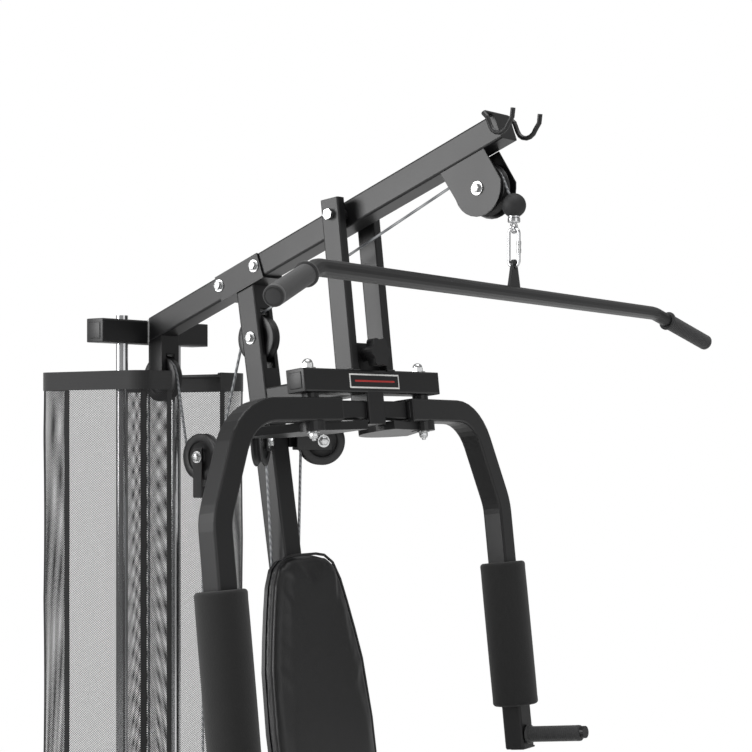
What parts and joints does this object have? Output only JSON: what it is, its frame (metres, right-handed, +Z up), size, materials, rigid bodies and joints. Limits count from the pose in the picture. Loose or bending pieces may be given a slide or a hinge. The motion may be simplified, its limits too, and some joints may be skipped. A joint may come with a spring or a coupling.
{
  "type": "home multi-gym",
  "caption": "Home multi-gym with one weight stack, an inclined mast and rising boom, a lat bar on a cable, a press arm with two swinging arms, a seat and a leg lever.",
  "frame": {"origin": "underside of the base beam on the floor, in the middle plane of the machine", "axes": "+Z up, user side -Y, weight stack +Y, X across the machine with the user's right hand at -X when facing -Y"},
  "size_m": [1.6615, 1.357, 2.1039],
  "materials": {
    "frame_paint": "satin black powder coat",
    "bright_steel": "polished chrome plate",
    "zinc_steel": "bright zinc plate",
    "black_nylon": "moulded black nylon",
    "foam_rubber": "closed cell foam, matte",
    "black_vinyl": "grained black vinyl",
    "black_mesh": "open black mesh with woven bindings",
    "cable_sleeve": "clear grey sleeve over steel strand",
    "weight_iron": "black painted iron"
  },
  "bodies": {
    "frame": {"base_beam": "frame_paint", "front_foot": "frame_paint", "rear_foot": "frame_paint", "mast": "frame_paint", "boom": "frame_paint", "saddle_bracket": "frame_paint", "rear_crossbar": "frame_paint", "pulley_stub": "frame_paint", "front_pulley_bracket": "frame_paint", "float_bracket_upper": "frame_paint", "float_bracket_lower": "frame_paint", "swivel_bracket_left": "frame_paint", "swivel_bracket_right": "frame_paint", "bar_hooks": "frame_paint", "seat_frame": "frame_paint", "guide_rod_left": "bright_steel", "guide_rod_right": "bright_steel", "pivot_bolt": "zinc_steel", "back_pad": "black_vinyl", "seat_pad": "black_vinyl", "shroud_left": "black_mesh", "shroud_right": "black_mesh", "cable_upper": "cable_sleeve", "cable_bar_end": "cable_sleeve", "cable_stack_end": "cable_sleeve", "cable_press": "cable_sleeve", "cable_low": "cable_sleeve", "weight_stack_lower": "weight_iron", "weight_plate_3": "weight_iron", "weight_plate_2": "weight_iron"},
    "stack_carriage": {"top_plate": "weight_iron", "weight_plate_1": "weight_iron"},
    "selector": {"selector_pin": "zinc_steel"},
    "bar_stop": {"ball_stop": "black_nylon"},
    "hook": {"carabiner": "zinc_steel"},
    "bar": {"lat_bar": "frame_paint", "lat_grip_left": "foam_rubber", "lat_grip_right": "foam_rubber"},
    "press_arm": {"press_yoke": "frame_paint"},
    "arm_left": {"swing_arm_left": "frame_paint", "arm_foam_left": "foam_rubber", "handle_grip_left": "foam_rubber"},
    "arm_right": {"swing_arm_right": "frame_paint", "arm_foam_right": "foam_rubber", "handle_grip_right": "foam_rubber"},
    "lock": {"lock_knob": "black_nylon"},
    "lever": {"leg_lever": "frame_paint", "leg_foam_left": "foam_rubber", "leg_foam_right": "foam_rubber"},
    "wheel_front": {"pulley_front": "black_nylon"},
    "wheel_mast": {"pulley_mast": "black_nylon"},
    "wheel_rear": {"pulley_rear": "black_nylon"},
    "wheel_float_upper": {"pulley_float_upper": "black_nylon"},
    "wheel_float_lower": {"pulley_float_lower": "black_nylon"},
    "wheel_low_front": {"pulley_low_front": "black_nylon"},
    "wheel_base_front": {"pulley_base_front": "black_nylon"},
    "wheel_base_middle": {"pulley_base_middle": "black_nylon"},
    "wheel_base_rear": {"pulley_base_rear": "black_nylon"},
    "wheel_swivel_left": {"pulley_swivel_left": "black_nylon"},
    "wheel_swivel_right": {"pulley_swivel_right": "black_nylon"}
  },
  "joints": [
    {"name": "stack_lift", "type": "slide", "parent": "frame", "child": "stack_carriage", "axis": [0, 0, 1], "range_m": [0, 0.75], "deforming": ["cable_stack_end"]},
    {"name": "pin_pull", "type": "slide", "parent": "stack_carriage", "child": "selector", "axis": [0, -1, 0], "range_m": [0, 0.055]},
    {"name": "lat_pull", "type": "slide", "parent": "frame", "child": "bar_stop", "axis": [0, 0, -1], "range_m": [0, 0.75], "deforming": ["cable_bar_end"]},
    {"name": "hook_swivel", "type": "hinge", "parent": "bar_stop", "child": "hook", "pos_m": [0, -0.577, 1.888], "axis": [0, 0, 1], "range_deg": [-45, 45]},
    {"name": "bar_tilt", "type": "hinge", "parent": "hook", "child": "bar", "pos_m": [0, -0.577, 1.82], "axis": [0.134, -0.991, 0], "range_deg": [-15, 15]},
    {"name": "press", "type": "hinge", "parent": "frame", "child": "press_arm", "pos_m": [0, -0.191, 1.93799], "axis": [-1, 0, 0], "range_deg": [0, 40]},
    {"name": "swing_left", "type": "hinge", "parent": "press_arm", "child": "arm_left", "pos_m": [-0.167, -0.23135, 1.59193], "axis": [0, 0.1158, 0.9933], "range_deg": [0, 90]},
    {"name": "swing_right", "type": "hinge", "parent": "press_arm", "child": "arm_right", "pos_m": [0.167, -0.23135, 1.59193], "axis": [0, -0.1158, -0.9933], "range_deg": [0, 90]},
    {"name": "knob_pull", "type": "slide", "parent": "press_arm", "child": "lock", "axis": [0, -0.9933, 0.1158], "range_m": [0, 0.012], "stiffness_N_per_m": 300},
    {"name": "leg_extension", "type": "hinge", "parent": "frame", "child": "lever", "pos_m": [0, -0.69, 0.385], "axis": [-1, 0, 0], "range_deg": [0, 80]},
    {"name": "turn_front", "type": "hinge", "parent": "frame", "child": "wheel_front", "pos_m": [0, -0.513, 1.965], "axis": [1, 0, 0], "continuous": true},
    {"name": "turn_mast", "type": "hinge", "parent": "frame", "child": "wheel_mast", "pos_m": [0, 0.05404, 1.709], "axis": [1, 0, 0], "continuous": true},
    {"name": "turn_rear", "type": "hinge", "parent": "frame", "child": "wheel_rear", "pos_m": [0, 0.3334, 1.632], "axis": [1, 0, 0], "continuous": true},
    {"name": "turn_float_upper", "type": "hinge", "parent": "frame", "child": "wheel_float_upper", "pos_m": [0, 0.214, 1.466], "axis": [1, 0, 0], "continuous": true},
    {"name": "turn_float_lower", "type": "hinge", "parent": "frame", "child": "wheel_float_lower", "pos_m": [0, -0.03, 0.62], "axis": [1, 0, 0], "continuous": true},
    {"name": "turn_low_front", "type": "hinge", "parent": "frame", "child": "wheel_low_front", "pos_m": [0, -0.595, 0.105], "axis": [1, 0, 0], "continuous": true},
    {"name": "turn_base_front", "type": "hinge", "parent": "frame", "child": "wheel_base_front", "pos_m": [0, -0.116, 0.105], "axis": [1, 0, 0], "continuous": true},
    {"name": "turn_base_middle", "type": "hinge", "parent": "frame", "child": "wheel_base_middle", "pos_m": [0, 0.056, 0.105], "axis": [1, 0, 0], "continuous": true},
    {"name": "turn_base_rear", "type": "hinge", "parent": "frame", "child": "wheel_base_rear", "pos_m": [0, 0.171, 0.105], "axis": [1, 0, 0], "continuous": true},
    {"name": "turn_swivel_left", "type": "hinge", "parent": "frame", "child": "wheel_swivel_left", "pos_m": [-0.09, -0.035, 1.5], "axis": [-0.5178, 0.8555, 0], "continuous": true},
    {"name": "turn_swivel_right", "type": "hinge", "parent": "frame", "child": "wheel_swivel_right", "pos_m": [0.09, -0.035, 1.5], "axis": [0.5178, 0.8555, 0], "continuous": true}
  ],
  "couplings": [
    {"joint": "lat_pull", "follows": "stack_lift", "ratio": 1},
    {"joint": "turn_front", "follows": "stack_lift", "rad_per_m": 23.256},
    {"joint": "turn_mast", "follows": "stack_lift", "rad_per_m": 23.256},
    {"joint": "turn_float_upper", "follows": "stack_lift", "rad_per_m": -23.256},
    {"joint": "turn_rear", "follows": "stack_lift", "rad_per_m": 23.256}
  ]
}
